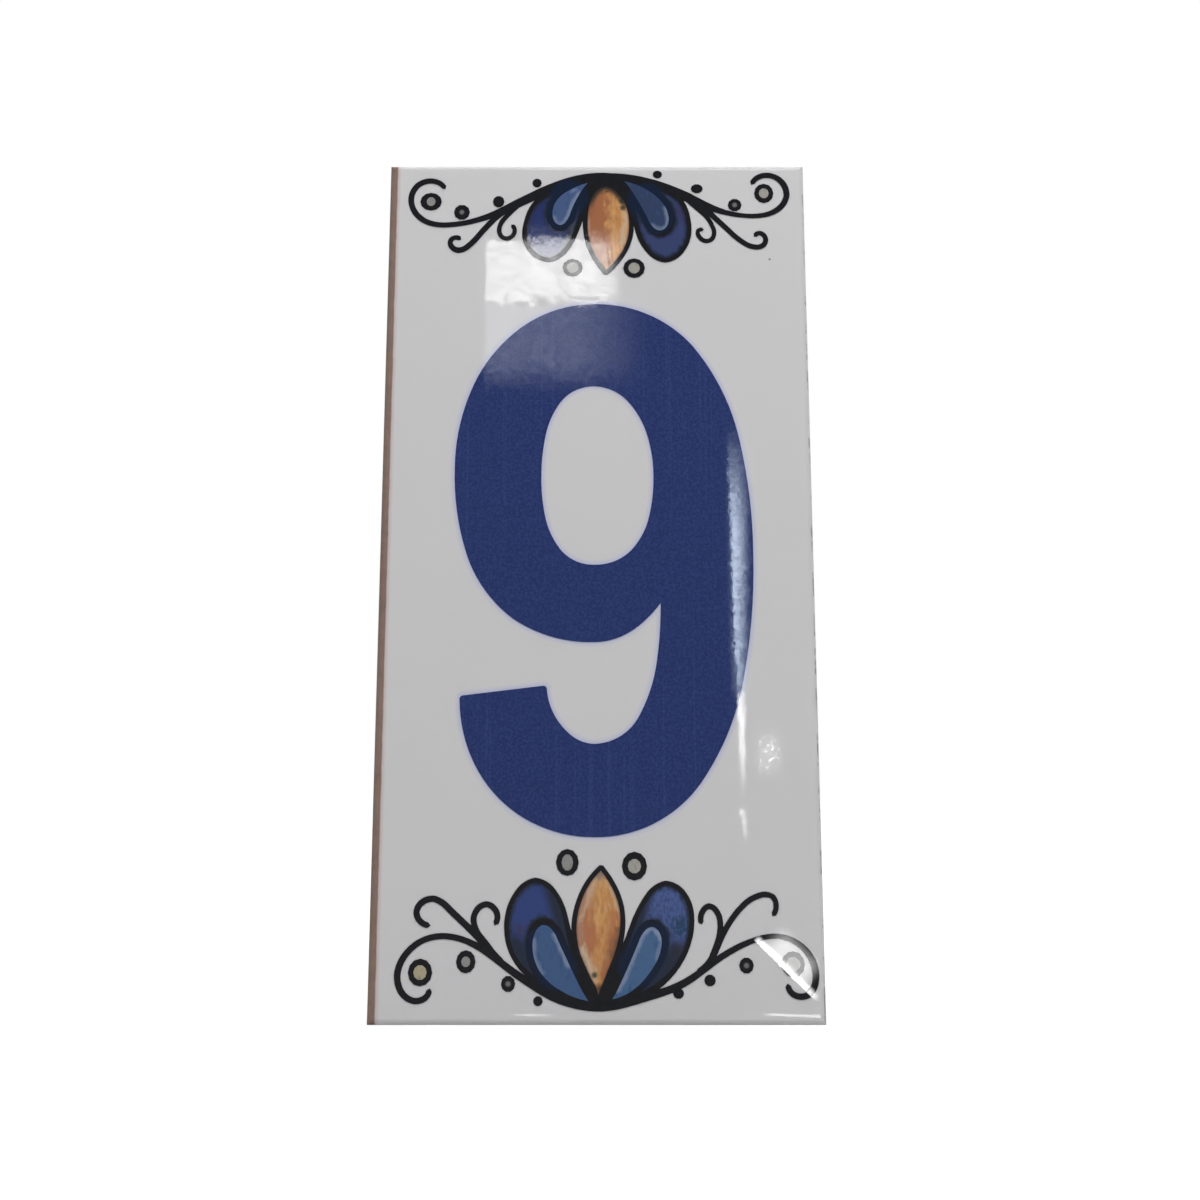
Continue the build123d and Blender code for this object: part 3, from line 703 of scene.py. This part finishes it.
def distance_to(edges, points):
    """Distance from each point to the nearest edge."""
    starts = edges[:, 0]
    runs = edges[:, 1] - starts
    nearest = np.full(len(points), np.inf)
    for start, run in zip(starts, runs):
        share = np.clip(((points - start) @ run) / max(run @ run, SMALLEST_SQUARE), 0, 1)
        nearest = np.minimum(nearest, np.hypot(*(points - start - share[:, None] * run).T))
    return nearest


def outside(edges, points):
    """Whether each point lies outside the outline: a line to the right crosses an even number of edges."""
    inside = np.zeros(len(points), bool)
    for (ax, ay), (bx, by) in edges:
        spans = (ay > points[:, 1]) != (by > points[:, 1])
        if ay != by:
            crossing = ax + (points[:, 1] - ay) / (by - ay) * (bx - ax)
            inside ^= spans & (points[:, 0] < crossing)
    return ~inside


def grid_over(edges, margin, cell):
    """A grid of points over an outline and a margin round it."""
    low = edges.min((0, 1)) - margin
    high = edges.max((0, 1)) + margin
    across = np.arange(low[0], high[0], cell)
    up = np.arange(low[1], high[1], cell)
    return np.stack(np.meshgrid(across, up, indexing="ij"), -1)


def make_sheet(name, points, faces, depth, thickness, attribute, values, material):
    """A thin flat piece whose front lies at that depth and whose points carry a number each."""
    mesh = bpy.data.meshes.new(name)
    corners = np.stack([points[:, 0], np.full(len(points), depth), points[:, 1]], 1) * MM
    mesh.from_pydata(corners, [], faces)
    carried = mesh.attributes.new(attribute, "FLOAT", "POINT")
    carried.data.foreach_set("value", values.astype(np.float32))
    mesh.materials.append(material)
    sheet = bpy.data.objects.new(name, mesh)
    bpy.context.scene.collection.objects.link(sheet)
    solid = sheet.modifiers.new("thickness", "SOLIDIFY")
    solid.thickness = thickness * MM
    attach(sheet, "root")
    return sheet


def make_bleed():
    """A thin stain on the face round the numeral, whose points know their distance from the print."""
    edges = outline_of("numeral")
    grid = grid_over(edges, BLEED_WIDTH + BLEED_CELL, BLEED_CELL)
    points = grid.reshape(-1, 2)
    distance = distance_to(edges, points)
    ids = np.arange(len(points)).reshape(grid.shape[:2])
    cells = np.stack([ids[:-1, :-1], ids[1:, :-1], ids[1:, 1:], ids[:-1, 1:]], -1).reshape(-1, 4)
    shows = (distance[cells].min(1) < BLEED_WIDTH) & outside(edges, points)[cells].any(1)
    used, faces = np.unique(cells[shows], return_inverse=True)
    make_sheet(
        "numeral_bleed",
        points[used],
        faces.reshape(-1, 4).tolist(),
        depth=FACE - BLEED_DEPTH,
        thickness=BLEED_DEPTH,
        attribute="distance",
        values=distance[used],
        material=bleed_material(),
    )


def make_brushed(node, material):
    """A print's fields with the same outline and many more points, which know their distance from it."""
    edges = outline_of(node)
    corners, ends = np.unique(edges.reshape(-1, 2), axis=0, return_inverse=True)
    sides = ends.reshape(-1, 2).tolist()
    grid = grid_over(edges, 0.0, PRINT_CELL).reshape(-1, 2)
    kept = ~outside(edges, grid) & (distance_to(edges, grid) > PRINT_CELL / 2)
    given = [Vector(point) for point in np.concatenate([corners, grid[kept]])]
    inside_outline = 1
    points, _, faces, *_ = delaunay_2d_cdt(given, sides, [], inside_outline, JOIN_TOLERANCE)
    points = np.array([tuple(point) for point in points])
    low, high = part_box(node)
    sheet = make_sheet(
        f"{node}_brushed",
        points,
        faces,
        depth=low.y / MM,
        thickness=(high.y - low.y) / MM,
        attribute="edge",
        values=distance_to(edges, points),
        material=material,
    )
    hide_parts(node)


def dress(name, material):
    """Gives a CAD node its material."""
    mesh = nodes[name].data
    mesh.materials.clear()
    mesh.materials.append(material)


def make_floor():
    """A white floor, which glows a little where it is seen."""
    reach = FLOOR_REACH * MM
    corners = [(-reach, -reach), (reach, -reach), (reach, reach), (-reach, reach)]
    mesh = bpy.data.meshes.new("floor")
    mesh.from_pydata([(x, y, FLOOR * MM) for x, y in corners], [], [(0, 1, 2, 3)])
    material = bpy.data.materials.new("floor_white")
    material.use_nodes = True
    shading = ShaderNodes(material.node_tree)
    sockets = material.node_tree.nodes["Principled BSDF"].inputs
    sockets["Base Color"].default_value = (FLOOR_WHITE, FLOOR_WHITE, FLOOR_WHITE, 1.0)
    sockets["Roughness"].default_value = FLOOR_ROUGHNESS
    sockets["Specular IOR Level"].default_value = FLOOR_GLOSS
    sockets["Emission Color"].default_value = (*WHITE, 1.0)
    shading.put(shading.math("MULTIPLY", shading.seen(), FLOOR_GLOW), sockets["Emission Strength"])
    mesh.materials.append(material)
    floor = bpy.data.objects.new("floor", mesh)
    bpy.context.scene.collection.objects.link(floor)


def make_world():
    """White where it is seen, directly or as a reflection, and a plain soft light on everything else."""
    world = bpy.data.worlds.new("studio")
    bpy.context.scene.world = world
    world.use_nodes = True
    shading = ShaderNodes(world.node_tree)
    sockets = world.node_tree.nodes["Background"].inputs
    sockets["Color"].default_value = (*WHITE, 1.0)
    strength = shading.add("ShaderNodeMapRange", [shading.seen(), 0.0, 1.0, AMBIENT, 1.0])
    shading.put(strength, sockets["Strength"])


def make_sun():
    """A wide, soft light from high up and a little in front."""
    light = bpy.data.lights.new("sky_light", "SUN")
    light.energy = SUN_STRENGTH
    light.angle = math.radians(SUN_SPREAD)
    sun = bpy.data.objects.new("sky_light", light)
    sun.rotation_euler = (math.radians(RIGHT_ANGLE - SUN_ELEVATION), 0, 0)
    bpy.context.scene.collection.objects.link(sun)


def area_lamp(name, width, height, radiance, colour=WHITE):
    """A flat lamp of that size in millimetres, which is that bright on its surface."""
    light = bpy.data.lights.new(name, "AREA")
    light.shape = "RECTANGLE"
    light.size = width * MM
    light.size_y = height * MM
    light.energy = radiance * math.pi * light.size * light.size_y
    light.color = colour
    lamp = bpy.data.objects.new(name, light)
    lamp.visible_camera = False
    bpy.context.scene.collection.objects.link(lamp)
    return lamp


def make_lamp():
    """A soft lamp above and in front, which makes the face a little brighter at the top."""
    lamp = area_lamp("soft_lamp", LAMP_SIZE, LAMP_SIZE, LAMP_RADIANCE)
    lamp.location = Vector((LAMP_ACROSS, FACE - LAMP_OUT, LAMP_UP)) * MM
    lamp.rotation_euler = (math.atan2(LAMP_OUT, LAMP_UP), 0, 0)


def make_gleam(name, left, right, low, high, distance, strength, colour=WHITE, lean=0.0, **shape):
    """A gleam that covers a patch of the face: the mirror image of a lamp that far in front of it.

    The strength is what it adds to the face's brightness, and the lean is how far it is turned.
    """
    spread = (CAMERA_DISTANCE + distance) / CAMERA_DISTANCE
    width, height = right - left, high - low
    lamp = area_lamp(name, width * spread, height * spread, strength / FACE_ON_REFLECTION, colour)
    across = CAMERA_ACROSS + ((left + right) / 2 - CAMERA_ACROSS) * spread
    up = CAMERA_UP + ((low + high) / 2 - CAMERA_UP) * spread
    lamp.location = Vector((PRINT_MIDDLE + across, FACE - distance, up)) * MM
    lamp.rotation_euler = (math.radians(RIGHT_ANGLE), math.radians(lean), 0)
    lamp.visible_diffuse = False
    lamp.data.use_nodes = True
    shape_gleam(lamp.data.node_tree, width, height, **shape)


def shape_gleam(
    tree, width, height, fade, taper=0.0, ragged=0.0, mottle=0.0, patch=GLEAM_PATCH, cover=GLEAM_COVER
):
    """Dims a lamp towards its sides, and in patches.

    It fades over the width given for each side. Its right side draws in by the taper at the low end, and
    its lower edge wanders by the ragged height. The mottle is the share that darker patches of that size
    lose, and the cover is where their noise turns from dark to bright.
    """
    lamp = ShaderNodes(tree)
    shares_of_size = lamp.add("ShaderNodeNewGeometry").node.outputs["Parametric"]
    size = (width, height, 0.0)
    lamp.place = lamp.add("ShaderNodeVectorMath", [shares_of_size, size], operation="MULTIPLY")
    across, up, _ = lamp.parts(lamp.place)
    patches = lamp.noise(**GLEAM_PATCHES, stretch=(*patch, 1.0), seed=width)
    ragged_up = lamp.math("ADD", up, lamp.wander(patches, ragged))
    drawn_in = lamp.add("ShaderNodeMapRange", [up, 0.0, height, taper, 0.0])
    shares = [
        lamp.between(across, 0.0, fade.get("left", GLEAM_SHARP)),
        lamp.between(lamp.math("ADD", across, drawn_in), width, width - fade.get("right", GLEAM_SHARP)),
        lamp.between(ragged_up, 0.0, fade.get("low", GLEAM_SHARP)),
        lamp.between(up, height, height - fade.get("high", GLEAM_SHARP)),
        lamp.add("ShaderNodeMapRange", [patches, *cover, 1.0 - mottle, 1.0]),
    ]
    emission = next(node for node in tree.nodes if node.type == "EMISSION")
    lamp.put(lamp.fold("MULTIPLY", shares), emission.inputs["Strength"])


def make_camera():
    """The camera, in front of the face and tilted up."""
    data = bpy.data.cameras.new("camera")
    data.lens = CAMERA_LENS
    data.sensor_width = CAMERA_SENSOR
    data.clip_start = CAMERA_NEAR * MM
    data.clip_end = CAMERA_FAR * MM
    camera = bpy.data.objects.new("camera", data)
    camera.location = Vector((PRINT_MIDDLE + CAMERA_ACROSS, FACE - CAMERA_DISTANCE, CAMERA_UP)) * MM
    camera.rotation_euler = (math.radians(RIGHT_ANGLE + CAMERA_PITCH), 0, 0)
    bpy.context.scene.collection.objects.link(camera)
    bpy.context.scene.camera = camera


dress("tile", tile_material())
dress("numeral", numeral_material())
dress("scrollwork", line_material())
dress("bead_centres", bead_material())
make_brushed("outer_petals", outer_petal_material())
make_brushed("inner_petals", inner_petal_material())
make_brushed("centre_petals", centre_petal_material())
make_bleed()
make_floor()
make_world()
make_sun()
make_lamp()
for gleam, settings in GLEAMS.items():
    make_gleam(gleam, **settings)
make_camera()

bpy.context.scene.view_settings.view_transform = "Standard"
